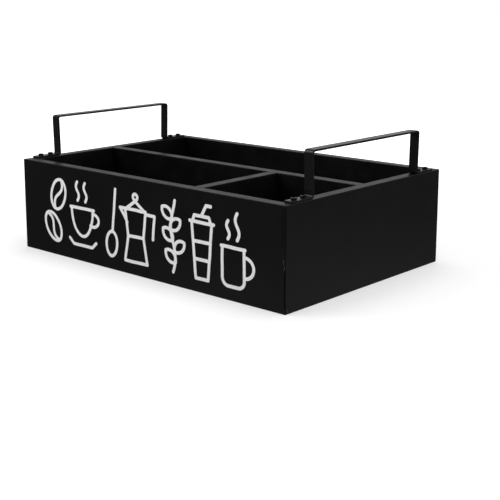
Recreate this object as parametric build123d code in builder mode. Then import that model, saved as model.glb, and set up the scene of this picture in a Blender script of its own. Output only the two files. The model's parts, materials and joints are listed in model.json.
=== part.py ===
from build123d import *
import os

# Coffee station organizer: an open painted board box with three compartments and two strap handles.
# Millimetres. The origin is at the middle of the underside, X runs along the width, the front faces
# -Y and Z is up.

# Box
body_width = 300.0
body_depth = 200.0
wall_height = 79.5
board_thickness = 9.0
board_edge_radius = 0.5

# Bottom panel, let in between the walls and flush with their lower edges
bottom_thickness = 5.0

# Dividers: the long one runs from side to side, the short one closes off a bay at the front right
divider_thickness = 9.0
long_divider_y = 0.5
small_bay_width = 80.0

# Strap handles: feet near the box's corners, legs that lean out a little, each leg's distance taken from
# its foot's inner screw to the leg's outer face
strap_width = 8.0
strap_thickness = 1.6
strap_bend_radius = 1.2
strap_edge_radius = 0.15
strap_tip_radius = 0.8
handle_rise = 35.8
handle_lean = 0.8
handle_foot_margin = 8.7
handle_inset = 0.5
left_leg_distance = 7.55
left_handle_shift = 1.05
right_leg_distance = 6.2
right_handle_shift = -0.85

# Handle screws: pan heads, nearly flat on top, with a cross recess
screw_end_distance = 6.0
screw_spacing = 10.5
screw_head_radius = 2.25
screw_head_height = 1.85
screw_rim_height = 1.5
screw_root_radius = 1.1
screw_thread_radius = 1.4
screw_thread_pitch = 1.2
screw_length = 12.0
screw_tip_length = 2.0
screw_foot_clearance = 0.2
screw_pilot_clearance = 0.05
recess_span = 2.8
recess_width = 0.8
recess_depth = 1.1
recess_turn = 27.0

# Headless brad nails, set below the faces that they are driven through
brad_radius = 0.6
brad_length = 25.0
brad_set = 1.0
brad_clearance = 0.05
brad_height_shares = (0.2, 0.45, 0.7)
bottom_front_brad_shares = (-0.35, -0.12, 0.12, 0.35)
bottom_side_brad_shares = (-0.3, 0.0, 0.3)

# Overrun of every cut beyond what it cuts
cut_overrun = 2.0

inner_width = body_width - 2 * board_thickness
inner_depth = body_depth - 2 * board_thickness
half_width = body_width / 2
half_depth = body_depth / 2
long_divider_front = long_divider_y - divider_thickness / 2
short_divider_x = inner_width / 2 - small_bay_width - divider_thickness / 2
short_divider_length = long_divider_front + inner_depth / 2
handle_x = half_width - handle_inset - strap_width / 2
handle_tip = half_depth - handle_foot_margin

# Each handle's name, its side of the box, its shift along the depth and its legs' distance
handles = {
    "left_handle": (-1, left_handle_shift, left_leg_distance),
    "right_handle": (1, right_handle_shift, right_leg_distance),
}

# Screw places, each a name, a point on the wall's top edge and the turn of its cross
outer_screw = handle_tip - screw_end_distance
inner_screw = outer_screw - screw_spacing
screw_places = {}
for handle_name, (side, shift, leg_distance) in handles.items():
    for end_name, end in (("front", -1), ("rear", 1)):
        for place_name, distance in (("outer", outer_screw), ("inner", inner_screw)):
            screw_y = shift + end * distance
            screw_name = f"{handle_name}_{end_name}_{place_name}_screw"
            turn = recess_turn * len(screw_places)
            screw_places[screw_name] = (side * handle_x, screw_y, turn)

# Brad places, each a plane at the nail's head that faces the way the nail is driven
brad_heights = [wall_height * share for share in brad_height_shares]
corner_brads = [
    Plane(origin=(side * (half_width - board_thickness / 2), end * (half_depth - brad_set), z),
          z_dir=(0, -end, 0))
    for side in (-1, 1) for end in (-1, 1) for z in brad_heights
]
divider_brads = [
    Plane(origin=(side * (half_width - brad_set), long_divider_y, z), z_dir=(-side, 0, 0))
    for side in (-1, 1) for z in brad_heights
] + [
    Plane(origin=(short_divider_x, y, z), z_dir=(0, direction, 0))
    for y, direction in (
        (brad_set - half_depth, 1),
        (long_divider_front + divider_thickness - brad_set, -1),
    )
    for z in brad_heights
]
bottom_brads = [
    Plane(origin=(share * body_width, end * (half_depth - brad_set), bottom_thickness / 2),
          z_dir=(0, -end, 0))
    for end in (-1, 1) for share in bottom_front_brad_shares
] + [
    Plane(origin=(side * (half_width - brad_set), share * body_depth, bottom_thickness / 2),
          z_dir=(-side, 0, 0))
    for side in (-1, 1) for share in bottom_side_brad_shares
]
from_the_plane_up = (Align.CENTER, Align.CENTER, Align.MIN)


def cut_brad_holes():
    """Clearance for every brad that reaches into the board being made."""
    with Locations(*corner_brads, *divider_brads, *bottom_brads):
        Cylinder(brad_radius + brad_clearance, brad_length + brad_clearance,
                 align=from_the_plane_up, mode=Mode.SUBTRACT)


def cut_pilot_holes():
    """Pilot holes for the handle screws, down from the top edges of the side walls."""
    depth = screw_length - strap_thickness + screw_pilot_clearance
    with Locations(*[(x, y, wall_height - depth) for x, y, turn in screw_places.values()]):
        Cylinder(screw_thread_radius + screw_pilot_clearance, depth + cut_overrun,
                 align=from_the_plane_up, mode=Mode.SUBTRACT)


def finish_piece(piece, name):
    piece.part.label = name
    export_step(piece.part, f"parts/{name}.step")


os.makedirs("parts", exist_ok=True)

# Frame of the box with all its edges broken, which the mitres then part into four walls
with BuildPart() as wall_ring:
    with BuildSketch():
        Rectangle(body_width, body_depth)
        Rectangle(inner_width, inner_depth, mode=Mode.SUBTRACT)
    extrude(amount=wall_height)
    upright_edges = wall_ring.edges().filter_by(Axis.Z).group_by(SortBy.DISTANCE)[-1]
    top_edges = wall_ring.faces().sort_by(Axis.Z)[-1].edges()
    foot_edges = wall_ring.faces().sort_by(Axis.Z)[0].outer_wire().edges()
    fillet(upright_edges + top_edges + foot_edges, board_edge_radius)

# Four walls, counted round from the front: each is what lies between the mitres at its two ends
beyond = cut_overrun
within = board_thickness + cut_overrun
for quarter, name in enumerate(("front_panel", "right_side_panel", "back_panel", "left_side_panel")):
    half_length, outer_distance = (half_depth, half_width) if quarter % 2 else (half_width, half_depth)
    with BuildPart() as wall:
        add(wall_ring.part)
        with BuildSketch(Plane.XY.offset(-cut_overrun).rotated((0, 0, 90 * quarter))):
            with BuildLine():
                Polyline(
                    (-half_length - beyond, -outer_distance - beyond),
                    (half_length + beyond, -outer_distance - beyond),
                    (half_length - within, within - outer_distance),
                    (within - half_length, within - outer_distance),
                    close=True,
                )
            make_face()
        extrude(amount=wall_height + 2 * cut_overrun, mode=Mode.INTERSECT)
        cut_brad_holes()
        cut_pilot_holes()
    finish_piece(wall, name)

# Bottom panel
with BuildPart() as bottom_panel:
    with BuildSketch():
        Rectangle(inner_width, inner_depth)
    extrude(amount=bottom_thickness)
    cut_brad_holes()
finish_piece(bottom_panel, "bottom_panel")

# Long divider, standing on the bottom panel from side wall to side wall
with BuildPart() as long_divider:
    with BuildSketch(Plane.YZ) as section:
        with Locations((long_divider_front, bottom_thickness)):
            Rectangle(divider_thickness, wall_height - bottom_thickness, align=(Align.MIN, Align.MIN))
        fillet(section.vertices().group_by(Axis.Y)[-1], board_edge_radius)
    extrude(amount=inner_width / 2, both=True)
    cut_brad_holes()
finish_piece(long_divider, "long_divider")

# Short divider, from the front wall to the long divider
with BuildPart() as short_divider:
    with BuildSketch(Plane.XZ.offset(inner_depth / 2)) as section:
        with Locations((short_divider_x, bottom_thickness)):
            Rectangle(divider_thickness, wall_height - bottom_thickness, align=(Align.CENTER, Align.MIN))
        fillet(section.vertices().group_by(Axis.Y)[-1], board_edge_radius)
    extrude(amount=-short_divider_length)
    cut_brad_holes()
finish_piece(short_divider, "short_divider")

# Handles: one strap each, foot, leg, grip, leg and foot, drawn as its underside and thickened upwards
for name, (side, shift, leg_distance) in handles.items():
    inner_leg = inner_screw - leg_distance - strap_thickness
    leaning_leg = inner_leg + handle_lean
    underside_rise = handle_rise - strap_thickness
    outer_bend = strap_bend_radius + strap_thickness
    with BuildPart() as handle:
        with BuildSketch(Plane((side * handle_x, shift, wall_height), x_dir=(0, 1, 0), z_dir=(1, 0, 0))):
            with BuildLine():
                FilletPolyline(
                    (-handle_tip, 0),
                    (-inner_leg, 0),
                    (-leaning_leg, underside_rise),
                    (leaning_leg, underside_rise),
                    (inner_leg, 0),
                    (handle_tip, 0),
                    radius=(outer_bend, strap_bend_radius, strap_bend_radius, outer_bend),
                )
                offset(amount=strap_thickness, side=Side.LEFT)
            make_face()
        extrude(amount=strap_width / 2, both=True)
        tips = handle.faces().sort_by(Axis.Y)
        fillet((tips[0].edges() + tips[-1].edges()).filter_by(Axis.Z), strap_tip_radius)
        flanks = handle.faces().filter_by(Axis.X)
        fillet(flanks.edges(), strap_edge_radius)
        foot_screws = [(x, y, wall_height) for x, y, turn in screw_places.values() if x * side > 0]
        with Locations(*foot_screws):
            Cylinder(screw_thread_radius + screw_foot_clearance, strap_thickness + cut_overrun,
                     align=from_the_plane_up, mode=Mode.SUBTRACT)
    finish_piece(handle, name)

# Handle screws: half a profile with its ring threads, turned about the axis, then the cross recess
thread_count = int((screw_length - screw_tip_length - strap_thickness) / screw_thread_pitch)
threads = []
for step in range(thread_count):
    groove_z = step * screw_thread_pitch + screw_tip_length - screw_length
    threads.append((screw_root_radius, groove_z))
    threads.append((screw_thread_radius, groove_z + screw_thread_pitch / 2))
neck_z = thread_count * screw_thread_pitch + screw_tip_length - screw_length
for name, (x, y, turn) in screw_places.items():
    foot_top = Plane(origin=(x, y, wall_height + strap_thickness)).rotated((0, 0, turn))
    with BuildPart() as screw:
        with BuildSketch(foot_top * Plane.XZ):
            with BuildLine():
                Polyline(
                    (0, screw_head_height),
                    (0, -screw_length),
                    *threads,
                    (screw_root_radius, neck_z),
                    (screw_root_radius, 0),
                    (screw_head_radius, 0),
                    (screw_head_radius, screw_rim_height),
                )
                TangentArc((0, screw_head_height), (screw_head_radius, screw_rim_height), tangent=(1, 0))
            make_face()
        revolve(axis=Axis((x, y, 0), (0, 0, 1)))
        with BuildSketch(foot_top.offset(screw_head_height)):
            Rectangle(recess_span, recess_width)
            Rectangle(recess_width, recess_span)
        extrude(amount=-recess_depth, mode=Mode.SUBTRACT)
    finish_piece(screw, name)

# Brad nails, one group for each kind of joint
brad_groups = {
    "corner_brads": corner_brads,
    "divider_brads": divider_brads,
    "bottom_brads": bottom_brads,
}
for name, places in brad_groups.items():
    with BuildPart() as brads:
        with Locations(*places):
            Cylinder(brad_radius, brad_length, align=from_the_plane_up)
    finish_piece(brads, name)
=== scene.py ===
import json
import math

import bmesh
import bpy
import numpy as np
from mathutils import Matrix, Vector, noise
from mathutils.geometry import delaunay_2d_cdt


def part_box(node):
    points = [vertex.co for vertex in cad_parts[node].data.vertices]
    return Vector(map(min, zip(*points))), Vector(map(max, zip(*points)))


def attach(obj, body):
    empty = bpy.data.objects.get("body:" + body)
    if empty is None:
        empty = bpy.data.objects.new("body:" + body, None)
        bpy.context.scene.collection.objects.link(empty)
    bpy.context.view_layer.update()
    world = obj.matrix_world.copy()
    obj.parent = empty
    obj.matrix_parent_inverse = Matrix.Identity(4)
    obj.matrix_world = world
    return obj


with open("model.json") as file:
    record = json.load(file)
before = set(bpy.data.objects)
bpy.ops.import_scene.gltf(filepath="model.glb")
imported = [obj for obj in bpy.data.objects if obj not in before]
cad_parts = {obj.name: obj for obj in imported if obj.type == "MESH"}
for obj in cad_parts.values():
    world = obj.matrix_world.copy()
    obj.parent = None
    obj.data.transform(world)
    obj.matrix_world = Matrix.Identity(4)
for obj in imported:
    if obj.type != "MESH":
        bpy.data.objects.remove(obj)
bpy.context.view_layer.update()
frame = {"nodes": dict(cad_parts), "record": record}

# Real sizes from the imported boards
MM = 0.001
FRONT_LOW, FRONT_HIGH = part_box("front_panel")
HALF_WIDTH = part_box("right_side_panel")[1].x
HALF_DEPTH = -FRONT_LOW.y
BOARD = FRONT_HIGH.y - FRONT_LOW.y

# Camera, fitted to the corners and edges of the box in the photograph, which is 500 by 500 pixels
IMAGE_SIZE = 500
CAMERA_PLACE = (607.4 * MM, -655.6 * MM, 231.5 * MM)
CAMERA_AZIMUTH = math.radians(42.024)
CAMERA_ELEVATION = math.radians(11.617)
FOCAL_PIXELS = 1057.6
AXIS_PIXEL = (240, 200)
SENSOR_WIDTH = 36.0
NEAR_CLIP = 0.01

# Lamps: name, place, target, size and power
SOFTBOXES = (
    ("overhead_softbox", (0.1, 0.2, 1.5), (0, 0, 0), (1.6, 1.2), 17),
    ("right_softbox", (1.5, -0.2, 0.7), (0, 0, 0.05), (0.9, 0.9), 4),
    ("front_softbox", (-0.7, -1.5, 0.8), (0, 0, 0.05), (1.0, 0.8), 5.5),
    ("left_softbox", (-1.05, -0.9, 1.2), (0.1, 0, 0.1), (0.4, 0.5), 6),
)

# World: its level on matt surfaces, its levels in gloss towards the front and the back, and how far round
# the one turns into the other
AMBIENT = 0.42
GLOSS_FRONT = 0.08
GLOSS_BACK = 0.50
GLOSS_TURN = 0.6

# Floor: what the camera sees of it grows to white between two distances, and gloss sees a soft patch on a
# darker floor
FLOOR_SIZE = 12.0
FLOOR_COLOUR = (0.62, 0.62, 0.62, 1)
FLOOR_ROUGHNESS = 0.9
FLOOR_LIFT = 0.36
FLOOR_FADE = (0.30, 0.55)
GLOSS_SPOT = (0.24, -0.10, 0)
GLOSS_SPOT_REACH = 0.42
GLOSS_FLOOR_NEAR = 0.31
GLOSS_FLOOR_FAR = 0.105

# Front motif: line drawings of coffee things, in millimetres on the front face
INK_WIDTH = 2.7
INK_HEIGHT = 0.14
INK_STEP = 1.2
LEAST_ARC_STEPS = 6
CREASE_STEPS = 28
STEM_STEPS = 40
CAP_STEPS = 8
JOINED = 0.01
MERGED = 1e-4
TRIANGLES_INSIDE = 1
WOBBLE = 0.35
WOBBLE_RATE = 0.09
WOBBLE_SEED = 1
MOTIF_LEFT = -120.0
MOTIF_SPAN = 240.0
MOTIF_FOOT = 11.0

# Painted shade of the open mitre joint and its hairlines on the front face beside its right end, as dark
# strips, in
# millimetres: distance from the end, width, lower and upper end
SEAM_SHADE_PLACES = (
    (1.00, 0.66, 3.2, 32.2),
    (1.05, 0.26, 42.0, 57.0),
    (3.20, 0.14, 48.0, 58.0),
    (0.60, 0.26, 55.0, 78.4),
    (2.30, 0.26, 56.0, 78.4),
    (4.10, 0.20, 50.0, 78.4),
)
SEAM_HEIGHT = 0.03
SEAM_STEPS = 24
SEAM_SWAY = 0.08
SEAM_SWAY_RATE = 0.25
SEAM_TAPER = 8.0
SEAM_TIP_SHARE = 0.3

# The layer of the noise that the motif's wobble and the seams' sway are read from
NOISE_LAYER = 0.5

# Painted shade along the hairline of each mitre joint: inner and outer half width, and the blur where the
# board's thickness ends
MITRE_SHADE_WIDTHS = (0.22 * MM, 0.40 * MM)
BOARD_BLUR = 0.1 * MM

# Chips in the paint, in millimetres: distance from the right end, distance from the front, height, half
# width and half height
CHIPS = (
    (2.2, 0.0, 39.0, 0.36, 1.6),
    (1.1, 0.0, 34.6, 0.36, 1.1),
    (0.0, 2.4, 2.6, 0.5, 0.9),
)
CHIP_EDGE_SHARES = (0.8, 1.1)
CHIP_RAGGED = 1.2 * MM
WORN_DEPTH = 0.15 * MM
WORN_ROUGHNESS = 0.4
SEAM_DEPTH_SHARE = 0.6

# Colours, linear
BLACK = (0, 0, 0, 1)
WHITE = (1, 1, 1, 1)
PAINT_DARK = (0.0020, 0.0020, 0.0021, 1)
PAINT_LIGHT = (0.0030, 0.0030, 0.0031, 1)
COAT_DARK = (0.0064, 0.0064, 0.0066, 1)
COAT_LIGHT = (0.0074, 0.0074, 0.0077, 1)
SCREW_DARK = (0.0018, 0.0018, 0.0019, 1)
SCREW_LIGHT = (0.0036, 0.0036, 0.0038, 1)
WHITE_INK = (0.88, 0.88, 0.87, 1)
WHITE_INK_THIN = (0.78, 0.78, 0.77, 1)
BARE_BOARD = (0.056, 0.052, 0.048, 1)
# Painted shade: the dark inside the gap of the open mitre joint, on the mitre lines and the seam strips
SEAM_SHADE_DARK = (0.0008, 0.0008, 0.0008, 1)
SEAM_SHADE_PALE = (0.0016, 0.0015, 0.0014, 1)
STEEL = (0.55, 0.55, 0.55, 1)
STEEL_DULL = (0.42, 0.42, 0.43, 1)

# Roughness of each finish, from its glossiest to its dullest spots
PAINT_ROUGHNESS = (0.33, 0.41)
COAT_ROUGHNESS = (0.20, 0.24)
SCREW_ROUGHNESS = (0.14, 0.22)
STEEL_ROUGHNESS = (0.25, 0.40)
INK_ROUGHNESS = (0.50, 0.62)
SEAM_ROUGHNESS = (0.85, 1.00)

# Height of each finish's fine relief
PAINT_GRAIN = 0.012 * MM
PAINT_STIPPLE = 0.014 * MM
COAT_RELIEF = 0.0015 * MM
SCREW_RELIEF = 0.0015 * MM
STEEL_RELIEF = 0.003 * MM
INK_RELIEF = 0.012 * MM
SEAM_RELIEF = 0.010 * MM

# The grain's scale along each axis: its fibres lie level, four times as long as they are high
GRAIN_SCALES = (0.25, 0.25, 1.0)

# A noise's middle value, and the values between which one colour or roughness turns into the other
NOISE_MIDDLE = 0.5
MIDDLE_VALUES = (0.3, 0.7)
SCREW_SPOT_VALUES = (0.35, 0.65)
INK_SPOT_VALUES = (0.35, 0.70)


class Nodes:
    """A short way to write a node tree."""

    def __init__(self, tree):
        self.tree = tree

    def add(self, kind, **settings):
        node = self.tree.nodes.new(kind)
        for key, value in settings.items():
            setattr(node, key, value)
        return node

    def put(self, value, socket):
        """Links an output to a socket, or sets the socket to a plain value."""
        if isinstance(value, bpy.types.NodeSocket):
            self.tree.links.new(value, socket)
        else:
            socket.default_value = value

    def ramp(self, value, low, high, to_low=0.0, to_high=1.0, kind="SMOOTHSTEP"):
        """A value from low..high to to_low..to_high, clamped."""
        node = self.add("ShaderNodeMapRange", interpolation_type=kind)
        settings = {"Value": value, "From Min": low, "From Max": high, "To Min": to_low, "To Max": to_high}
        for key, setting in settings.items():
            self.put(setting, node.inputs[key])
        return node.outputs["Result"]

    def mix(self, factor, first, second):
        """One colour where the factor is 0, the other where it is 1."""
        node = self.add("ShaderNodeMix", data_type="RGBA")
        self.put(factor, node.inputs["Factor"])
        colours = {"A": first, "B": second}
        for socket in node.inputs:
            if socket.type == "RGBA":
                self.put(colours[socket.name], socket)
        return next(socket for socket in node.outputs if socket.type == "RGBA")

    def calc(self, operation, *values):
        node = self.add("ShaderNodeMath", operation=operation)
        for value, socket in zip(values, node.inputs):
            self.put(value, socket)
        return node.outputs["Value"]

    def vector(self, operation, *values):
        node = self.add("ShaderNodeVectorMath", operation=operation)
        for value, socket in zip(values, node.inputs):
            self.put(value, socket)
        return node.outputs

    def axes(self, place):
        node = self.add("ShaderNodeSeparateXYZ")
        self.put(place, node.inputs[0])
        return node.outputs


class Finish(Nodes):
    """A material's node tree, which ends in the material's shader."""

    def __init__(self, name):
        self.material = bpy.data.materials.new(name)
        self.material.use_nodes = True
        super().__init__(self.material.node_tree)
        self.shader = self.tree.nodes["Principled BSDF"]
        self.place = self.add("ShaderNodeTexCoord").outputs["Object"]

    def stretch(self, *scales):
        """The place, stretched along each axis."""
        node = self.add("ShaderNodeMapping")
        self.put(self.place, node.inputs["Vector"])
        node.inputs["Scale"].default_value = scales
        return node.outputs["Vector"]

    def noise(self, scale, detail=2.0, roughness=0.5, place=None):
        """Noise of about so many spots to a metre."""
        node = self.add("ShaderNodeTexNoise")
        self.put(place or self.place, node.inputs["Vector"])
        node.inputs["Scale"].default_value = scale
        node.inputs["Detail"].default_value = detail
        node.inputs["Roughness"].default_value = roughness
        return node.outputs["Fac"]

    def patches(self, scale, detail=2.0, roughness=0.5, values=MIDDLE_VALUES, span=(0.0, 1.0)):
        """Noise with some of its values spread over a span."""
        return self.ramp(self.noise(scale, detail, roughness), *values, *span)

    def bump(self, height, distance, under=None):
        node = self.add("ShaderNodeBump")
        self.put(height, node.inputs["Height"])
        node.inputs["Strength"].default_value = 1.0
        node.inputs["Distance"].default_value = distance
        if under is not None:
            self.put(under, node.inputs["Normal"])
        return node.outputs["Normal"]

    def finish(self, colour, roughness, normal=None, specular=0.5, metallic=0.0):
        self.put(colour, self.shader.inputs["Base Color"])
        self.put(roughness, self.shader.inputs["Roughness"])
        if normal is not None:
            self.put(normal, self.shader.inputs["Normal"])
        self.shader.inputs["Specular IOR Level"].default_value = specular
        self.shader.inputs["Metallic"].default_value = metallic
        return self.material


def mitre_shade_lines(look):
    """A mask of painted shade along the hairline joint between two boards, at the mitre of each corner of
    the box.
    """
    x, y, _ = look.axes(look.place)
    in_x = look.calc("SUBTRACT", HALF_WIDTH, look.calc("ABSOLUTE", x))
    in_y = look.calc("SUBTRACT", HALF_DEPTH, look.calc("ABSOLUTE", y))
    from_mitre = look.calc("ABSOLUTE", look.calc("SUBTRACT", in_x, in_y))
    on_line = look.ramp(from_mitre, *MITRE_SHADE_WIDTHS, 1.0, 0.0)
    in_board = look.ramp(look.calc("MINIMUM", in_x, in_y), BOARD - BOARD_BLUR, BOARD + BOARD_BLUR, 1.0, 0.0)
    return look.calc("MULTIPLY", on_line, in_board)


def paint_chips(look):
    """A mask of the ragged chips beside the near corner."""
    ragged = look.calc("MULTIPLY", look.calc("SUBTRACT", look.noise(900), NOISE_MIDDLE), CHIP_RAGGED)
    chips = None
    for from_end, from_front, height, half_width, half_height in CHIPS:
        middle = (HALF_WIDTH - from_end * MM, from_front * MM - HALF_DEPTH, height * MM)
        offset = look.vector("SUBTRACT", look.place, middle)["Vector"]
        squeezed = look.vector("MULTIPLY", offset, (1, 1, half_width / half_height))["Vector"]
        edge = look.calc("ADD", look.vector("LENGTH", squeezed)["Value"], ragged)
        inner, outer = (half_width * MM * share for share in CHIP_EDGE_SHARES)
        chip = look.ramp(edge, inner, outer, 1.0, 0.0)
        chips = chip if chips is None else look.calc("MAXIMUM", chips, chip)
    return chips


def board_paint():
    """Satin black paint rolled over fibreboard, with a few chips and painted shade along each mitre's
    hairline joint.
    """
    look = Finish("board_paint")
    mitre_shade = mitre_shade_lines(look)
    chips = paint_chips(look)
    paint = look.mix(look.patches(28, detail=3), PAINT_DARK, PAINT_LIGHT)
    # Along each mitre the paint turns to painted shade of the hairline joint; the chips show bare board
    colour = look.mix(chips, look.mix(mitre_shade, paint, SEAM_SHADE_DARK), BARE_BOARD)
    dulled_chips_and_seams = look.calc("MULTIPLY", look.calc("MAXIMUM", mitre_shade, chips), WORN_ROUGHNESS)
    roughness = look.calc("ADD", look.patches(75, detail=3, span=PAINT_ROUGHNESS), dulled_chips_and_seams)
    fibres = look.noise(260, detail=3, roughness=0.6, place=look.stretch(*GRAIN_SCALES))
    grain = look.bump(fibres, PAINT_GRAIN)
    stippled = look.bump(look.noise(850, roughness=0.6), PAINT_STIPPLE, under=grain)
    hollows = look.calc("MAXIMUM", look.calc("MULTIPLY", mitre_shade, SEAM_DEPTH_SHARE), chips)
    return look.finish(colour, roughness, look.bump(hollows, -WORN_DEPTH, under=stippled), specular=0.25)


def handle_coat():
    """Fine satin powder coat on bent steel strap."""
    look = Finish("handle_coat")
    colour = look.mix(look.patches(60, detail=3), COAT_DARK, COAT_LIGHT)
    roughness = look.patches(140, span=COAT_ROUGHNESS)
    relief = look.bump(look.noise(1500, roughness=0.6), COAT_RELIEF)
    return look.finish(colour, roughness, relief, specular=0.26)


def screw_finish():
    """Black oxide on small steel screws."""
    look = Finish("screw_finish")
    colour = look.mix(look.patches(900, detail=3, values=SCREW_SPOT_VALUES), SCREW_DARK, SCREW_LIGHT)
    roughness = look.patches(1400, span=SCREW_ROUGHNESS)
    return look.finish(colour, roughness, look.bump(look.noise(3200), SCREW_RELIEF), specular=0.3)


def brad_steel():
    """Bright drawn wire."""
    look = Finish("brad_steel")
    colour = look.mix(look.noise(700), STEEL, STEEL_DULL)
    roughness = look.patches(900, span=STEEL_ROUGHNESS)
    return look.finish(colour, roughness, look.bump(look.noise(2500), STEEL_RELIEF), metallic=1.0)


def white_ink():
    """Matt white ink, a little thinner here and there."""
    look = Finish("white_ink")
    thin = look.patches(420, detail=4, roughness=0.6, values=INK_SPOT_VALUES)
    colour = look.mix(thin, WHITE_INK, WHITE_INK_THIN)
    roughness = look.patches(300, span=INK_ROUGHNESS)
    return look.finish(colour, roughness, look.bump(look.noise(1100, detail=3), INK_RELIEF), specular=0.4)


def painted_seam_shade():
    """Painted shade: the dark inside the gap of an open hairline joint, put on thin strips."""
    look = Finish("painted_seam_shade")
    colour = look.mix(look.noise(600), SEAM_SHADE_DARK, SEAM_SHADE_PALE)
    roughness = look.patches(800, span=SEAM_ROUGHNESS)
    return look.finish(colour, roughness, look.bump(look.noise(1500), SEAM_RELIEF), specular=0.0)


def dress_frame():
    """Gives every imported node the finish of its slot."""
    finishes = {
        "board_paint": board_paint(),
        "handle_coat": handle_coat(),
        "screw_finish": screw_finish(),
        "brad_steel": brad_steel(),
    }
    for row in frame["record"]["subparts"]:
        piece = frame["nodes"][row["node"]]
        piece.data.materials.clear()
        piece.data.materials.append(finishes[row["material_slot"]])


def evenly(start, end, steps):
    """Evenly spaced numbers from start to end, both of them included."""
    return [start + (end - start) * step / steps for step in range(steps + 1)]


def arc(centre_x, centre_z, radius_x, radius_z, start, end):
    """Points along part of an ellipse, angles in degrees."""
    length = abs(math.radians(end - start)) * max(radius_x, radius_z)
    steps = max(LEAST_ARC_STEPS, int(length / INK_STEP))
    turns = [math.radians(angle) for angle in evenly(start, end, steps)]
    return [(centre_x + radius_x * math.cos(turn), centre_z + radius_z * math.sin(turn)) for turn in turns]


def wave(x, low, high, swing):
    """Points up a wavy line of one full wave."""
    shares = evenly(0, 1, int((high - low) / INK_STEP))
    return [(x + swing * math.sin(2 * math.pi * share), low + (high - low) * share) for share in shares]


def corners(*points):
    """A stroke for each straight run between the points."""
    runs = []
    for (x0, z0), (x1, z1) in zip(points, points[1:]):
        steps = max(2, int(math.dist((x0, z0), (x1, z1)) / INK_STEP))
        runs.append(list(zip(evenly(x0, x1, steps), evenly(z0, z1, steps))))
    return runs


def turned(strokes, angle, right, up):
    """The strokes turned about the origin, in degrees, and moved."""
    cosine, sine = math.cos(math.radians(angle)), math.sin(math.radians(angle))
    return [
        [(right + cosine * x - sine * z, up + sine * x + cosine * z) for x, z in stroke]
        for stroke in strokes
    ]


def bean(x, z, angle):
    half_length, half_width, swing = 13.5, 9.0, 2.7
    shares = evenly(-1, 1, CREASE_STEPS)
    crease = [(swing * math.sin(math.pi * share), half_length * share) for share in shares]
    return turned([arc(0, 0, half_width, half_length, 0, 360), crease], angle, x, z)


def bean_pair():
    return bean(9.5, 14, 34) + bean(17.5, 43, -20)


def steaming_cup():
    strokes = corners((0, 35), (30, 35))
    strokes += [arc(15, 35, 13.5, 24, 180, 360), arc(28.5, 26.5, 7.5, 5.5, 75, -115)]
    strokes += corners((-2, 7.5), (3, 3), (27, 3), (32, 7.5))
    strokes += [wave(9.5, 41, 57, 1.8), wave(19.5, 41, 57, 1.8)]
    return strokes


def spoon():
    return turned([arc(0, 11, 6.5, 10.5, 0, 360)] + corners((0, 21.5), (0, 57.5)), -7, 7, 0)


def stove_pot():
    strokes = corners((3, 0), (29, 0), (25, 21), (7, 21), (3, 0))
    strokes += corners((7, 21), (4, 43), (28, 43), (25, 21))
    strokes += corners((4, 43), (-2, 43), (6.2, 32))
    strokes += corners((5, 43), (16, 50), (27, 43)) + [arc(16, 53.5, 2.6, 2.6, 0, 360)]
    strokes += corners((28, 41), (38, 41), (36, 22))
    return strokes


def sprig():
    middle, height, swing, waves, lean = 11, 57, 2.5, 1.2, 38
    shares = evenly(0, 1, STEM_STEPS)
    stem = [(middle + swing * math.sin(2 * waves * math.pi * share), height * share) for share in shares]
    strokes = [stem]
    for step, side in ((6, -1), (12, 1), (18, -1), (24, 1), (30, -1)):
        leaf = [arc(6.2, -3.4, 7.6, 7.6, 154, 26), arc(6.2, 3.4, 7.6, 7.6, 206, 334)]
        if side < 0:
            leaf = [[(-x, z) for x, z in stroke] for stroke in leaf]
        strokes += turned(leaf, side * lean, *stem[step])
    return strokes


def tumbler():
    strokes = corners((0, 44), (25, 44)) + corners((3, 44), (5, 49), (20, 49), (22, 44))
    strokes += corners((2, 44), (6, 0), (19, 0), (23, 44)) + corners((3.6, 29), (21.4, 29))
    strokes += corners((5, 15), (20, 15)) + corners((12, 49), (17, 57.5), (22, 57.5))
    return strokes


def mug():
    strokes = corners((0, 30), (24, 30)) + corners((1, 30), (1, 6)) + corners((23, 30), (23, 6))
    strokes += [arc(7, 6, 6, 6, 180, 270), arc(17, 6, 6, 6, 270, 360)] + corners((7, 0), (17, 0))
    strokes += [arc(23.5, 16.5, 8.5, 8, 80, -80), wave(7, 36, 50, 1.6), wave(16, 36, 56, 1.8)]
    return strokes


def drawn(point):
    """A point moved a little, as by an unsteady hand."""
    x, z = point
    sway = noise.noise_vector(Vector((x * WOBBLE_RATE, z * WOBBLE_RATE, NOISE_LAYER)))
    return Vector((x + WOBBLE * sway.x, z + WOBBLE * sway.y))


def outline_pieces(line):
    """A stroke's flat outline, anticlockwise: a four-sided piece per step and a round cap on each end."""
    closed = (line[0] - line[-1]).length < JOINED
    sides = []
    for i, point in enumerate(line):
        before = line[i - 1] if i else (line[-2] if closed else point)
        after = line[i + 1] if i + 1 < len(line) else (line[1] if closed else point)
        along = (after - before).normalized()
        across = Vector((-along.y, along.x)) * INK_WIDTH / 2
        sides.append((point + across, point - across))
    pieces = []
    for (left, right), (next_left, next_right) in zip(sides, sides[1:]):
        pieces.append((right, next_right, next_left, left))
    if not closed:
        turns = [Matrix.Rotation(angle, 2) for angle in evenly(0, math.pi, CAP_STEPS)]
        for centre, first in ((line[0], sides[0][0]), (line[-1], sides[-1][1])):
            pieces.append(tuple(centre + turn @ (first - centre) for turn in turns))
    return pieces


def near_line(places, line):
    """Which of the places lie within half a stroke's width of a line."""
    starts = np.array(line[:-1])[None]
    runs = np.array(line[1:])[None] - starts
    shares = ((places[:, None] - starts) * runs).sum(2) / (runs ** 2).sum(2)
    nearest = starts + runs * np.clip(shares, 0, 1)[:, :, None]
    return np.linalg.norm(places[:, None] - nearest, axis=2).min(1) < INK_WIDTH / 2


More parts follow.
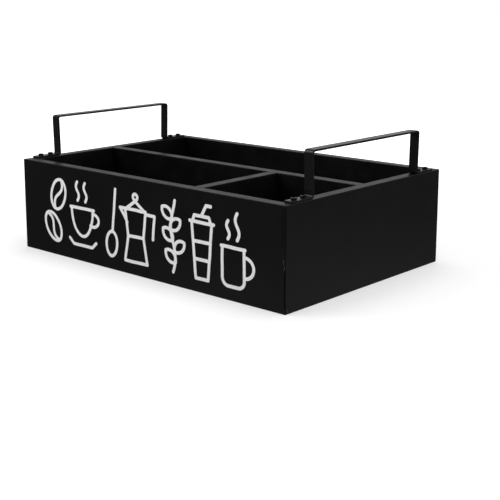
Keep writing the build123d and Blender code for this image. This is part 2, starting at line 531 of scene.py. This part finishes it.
def place_object(name, data):
    """A new object in the scene, around a mesh, lamp or camera."""
    holder = bpy.data.objects.new(name, data)
    bpy.context.scene.collection.objects.link(holder)
    return holder


def make_piece(name, shape, material):
    """Turns a finished shape into a piece that rides on the one body."""
    bmesh.ops.recalc_face_normals(shape, faces=shape.faces)
    mesh = bpy.data.meshes.new(name)
    shape.to_mesh(mesh)
    shape.free()
    mesh.materials.append(material)
    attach(place_object(name, mesh), "root")


def motif_lines():
    """The strokes of all drawings, side by side, with equal gaps between their widths."""
    widths = {bean_pair: 26, steaming_cup: 36, spoon: 14, stove_pot: 40, sprig: 22, tumbler: 25, mug: 32}
    gap = (MOTIF_SPAN - sum(widths.values())) / (len(widths) - 1)
    lines = []
    left = MOTIF_LEFT
    # Unseeded, the noise's vectors would differ from run to run
    noise.seed_set(WOBBLE_SEED)
    for drawing, width in widths.items():
        for stroke in turned(drawing(), 0, left, MOTIF_FOOT):
            lines.append([drawn(point) for point in stroke])
        left += width + gap
    return lines


def make_motif():
    """Joins all strokes into one flat shape, then raises it off the front face."""
    lines = motif_lines()
    points, faces = [], []
    for piece in (piece for line in lines for piece in outline_pieces(line)):
        faces.append(list(range(len(points), len(points) + len(piece))))
        points.extend(piece)
    flat, _, triangles, *_ = delaunay_2d_cdt(points, [], faces, TRIANGLES_INSIDE, MERGED)
    middles = np.array([sum((flat[i] for i in triangle), Vector((0, 0))) / 3 for triangle in triangles])
    inked = np.any([near_line(middles, line) for line in lines], axis=0)
    shape = bmesh.new()
    low = [shape.verts.new((point.x * MM, FRONT_LOW.y, point.y * MM)) for point in flat]
    bottom = []
    for triangle, keep in zip(triangles, inked):
        if keep:
            bottom.append(shape.faces.new([low[i] for i in triangle]))
    loose = [corner for corner in low if not corner.link_faces]
    bmesh.ops.delete(shape, geom=loose, context="VERTS")
    raised = bmesh.ops.extrude_face_region(shape, geom=bottom, use_keep_orig=True)["geom"]
    top = [element for element in raised if isinstance(element, bmesh.types.BMVert)]
    bmesh.ops.translate(shape, verts=top, vec=(0, -INK_HEIGHT * MM, 0))
    make_piece("front_motif", shape, white_ink())


def make_seam_shade():
    """Painted shade of the mitre's open hairlines on the front face: thin dark strips, no higher than a
    coat of paint.
    """
    shape = bmesh.new()
    for distance, width, low, high in SEAM_SHADE_PLACES:
        rows = []
        for share in evenly(0, 1, SEAM_STEPS):
            z = low + (high - low) * share
            sway = noise.noise(Vector((distance, NOISE_LAYER, z * SEAM_SWAY_RATE)))
            middle = HALF_WIDTH / MM - distance + SEAM_SWAY * sway
            half = width / 2 * min(1.0, SEAM_TAPER * min(share, 1 - share) + SEAM_TIP_SHARE)
            rows.append([
                shape.verts.new((x * MM, y, z * MM))
                for y in (FRONT_LOW.y, FRONT_LOW.y - SEAM_HEIGHT * MM)
                for x in (middle - half, middle + half)
            ])
        for under, over in zip(rows, rows[1:]):
            for first, second in ((0, 1), (1, 3), (3, 2), (2, 0)):
                shape.faces.new((under[first], under[second], over[second], over[first]))
        for row in (rows[0], rows[-1]):
            shape.faces.new((row[0], row[1], row[3], row[2]))
    make_piece("seam_shade_strips", shape, painted_seam_shade())


def make_floor():
    """A plain pale floor, darker where only gloss sees it, that keeps the object's shadow."""
    half = FLOOR_SIZE / 2
    square = [(-half, -half, 0), (half, -half, 0), (half, half, 0), (-half, half, 0)]
    mesh = bpy.data.meshes.new("floor")
    mesh.from_pydata(square, [], [(0, 1, 2, 3)])
    look = Finish("floor_white")
    rays = look.add("ShaderNodeLightPath").outputs
    from_middle = look.vector("LENGTH", look.place)["Value"]
    from_spot = look.vector("DISTANCE", look.place, GLOSS_SPOT)["Value"]
    lift = look.ramp(from_middle, *FLOOR_FADE, FLOOR_LIFT, 1.0)
    in_gloss = look.ramp(from_spot, 0, GLOSS_SPOT_REACH, GLOSS_FLOOR_NEAR, GLOSS_FLOOR_FAR)
    to_camera = look.calc("MULTIPLY", rays["Is Camera Ray"], lift)
    to_gloss = look.calc("MULTIPLY", rays["Is Glossy Ray"], in_gloss)
    look.put(look.calc("ADD", to_camera, to_gloss), look.shader.inputs["Emission Strength"])
    look.put(WHITE, look.shader.inputs["Emission Color"])
    colour = look.mix(rays["Is Glossy Ray"], FLOOR_COLOUR, BLACK)
    mesh.materials.append(look.finish(colour, FLOOR_ROUGHNESS, specular=0.0))
    place_object("floor", mesh)


def make_world():
    """White to the camera and plain ambient light on matt surfaces. In gloss the back is brighter."""
    world = bpy.data.worlds.new("studio")
    bpy.context.scene.world = world
    world.use_nodes = True
    nodes = Nodes(world.node_tree)
    rays = nodes.add("ShaderNodeLightPath").outputs
    direction = nodes.axes(nodes.add("ShaderNodeTexCoord").outputs["Generated"])
    in_gloss = nodes.ramp(direction["Y"], -GLOSS_TURN, GLOSS_TURN, GLOSS_FRONT, GLOSS_BACK, kind="LINEAR")
    level = nodes.ramp(rays["Is Glossy Ray"], 0, 1, AMBIENT, in_gloss, kind="LINEAR")
    background = nodes.tree.nodes["Background"]
    nodes.put(nodes.calc("MAXIMUM", level, rays["Is Camera Ray"]), background.inputs["Strength"])
    nodes.put(WHITE, background.inputs["Color"])


def make_lights():
    for name, place, target, size, power in SOFTBOXES:
        lamp = bpy.data.lights.new(name, "AREA")
        lamp.shape = "RECTANGLE"
        lamp.size, lamp.size_y = size
        lamp.energy = power
        holder = place_object(name, lamp)
        holder.location = place
        holder.rotation_mode = "QUATERNION"
        holder.rotation_quaternion = (Vector(target) - Vector(place)).to_track_quat("-Z", "Y")


def make_camera():
    camera = bpy.data.cameras.new("camera")
    camera.sensor_width = SENSOR_WIDTH
    camera.lens = SENSOR_WIDTH * FOCAL_PIXELS / IMAGE_SIZE
    camera.shift_x = (IMAGE_SIZE / 2 - AXIS_PIXEL[0]) / IMAGE_SIZE
    camera.shift_y = (AXIS_PIXEL[1] - IMAGE_SIZE / 2) / IMAGE_SIZE
    camera.clip_start = NEAR_CLIP
    holder = place_object("camera", camera)
    holder.location = CAMERA_PLACE
    holder.rotation_euler = (math.pi / 2 - CAMERA_ELEVATION, 0, CAMERA_AZIMUTH)
    bpy.context.scene.camera = holder


make_camera()
make_floor()
make_world()
make_lights()
dress_frame()
make_motif()
make_seam_shade()
bpy.context.scene.view_settings.view_transform = "Standard"
